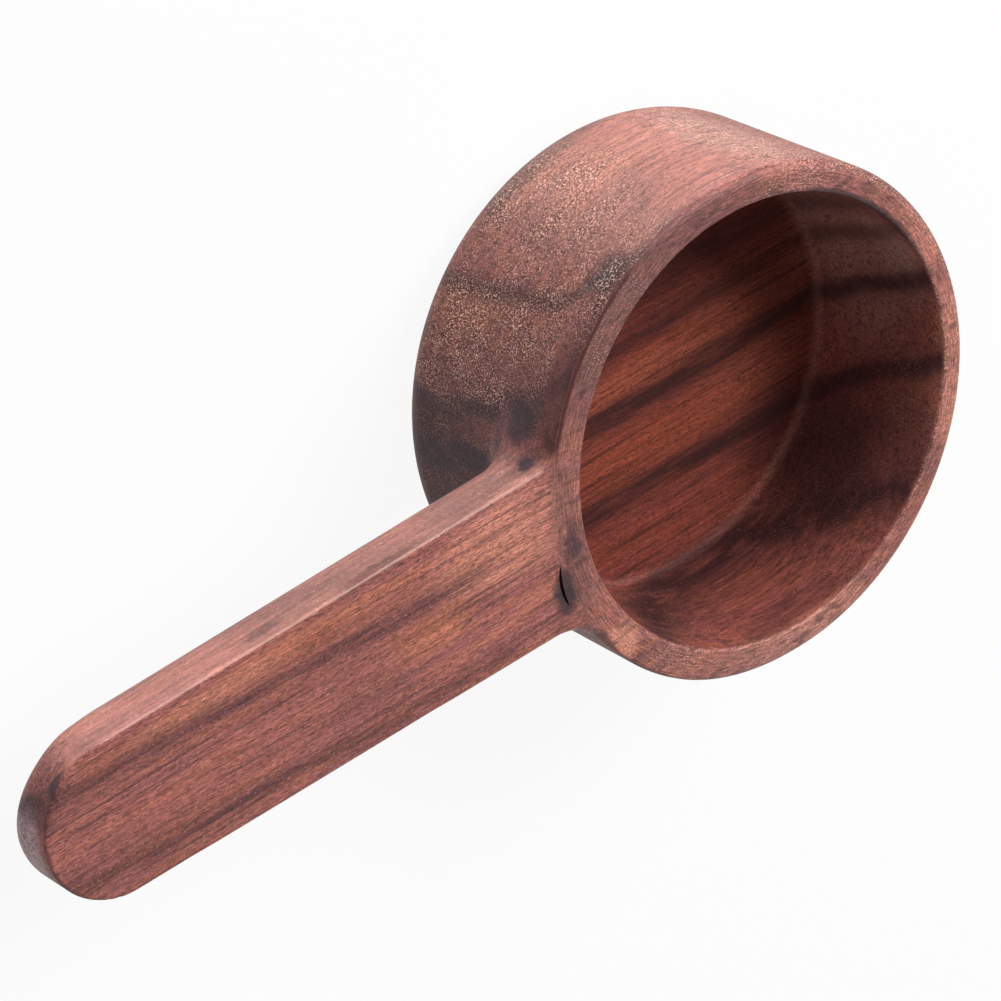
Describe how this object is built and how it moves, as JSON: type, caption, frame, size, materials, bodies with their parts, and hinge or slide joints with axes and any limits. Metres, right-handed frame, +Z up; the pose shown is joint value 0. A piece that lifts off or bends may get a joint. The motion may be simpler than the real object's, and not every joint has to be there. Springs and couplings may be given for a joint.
{
  "type": "measuring spoon",
  "caption": "Straight-sided wooden scoop with a flat round-ended handle flush with its rim, for measuring ground coffee and other dry goods.",
  "frame": {"origin": "on the bowl's axis, at the flat base that it stands on", "axes": "+Z up through the bowl's open mouth; the handle runs along -X from the bowl; +Y to the left of someone who holds the handle and looks towards the bowl"},
  "size_m": [0.1108, 0.052, 0.0245],
  "materials": {
    "body_wood": "oiled satin",
    "dowel_wood": "raw"
  },
  "bodies": {
    "root": {"bowl": "body_wood", "handle": "body_wood", "dowel_left": "dowel_wood", "dowel_right": "dowel_wood"}
  },
  "joints": []
}
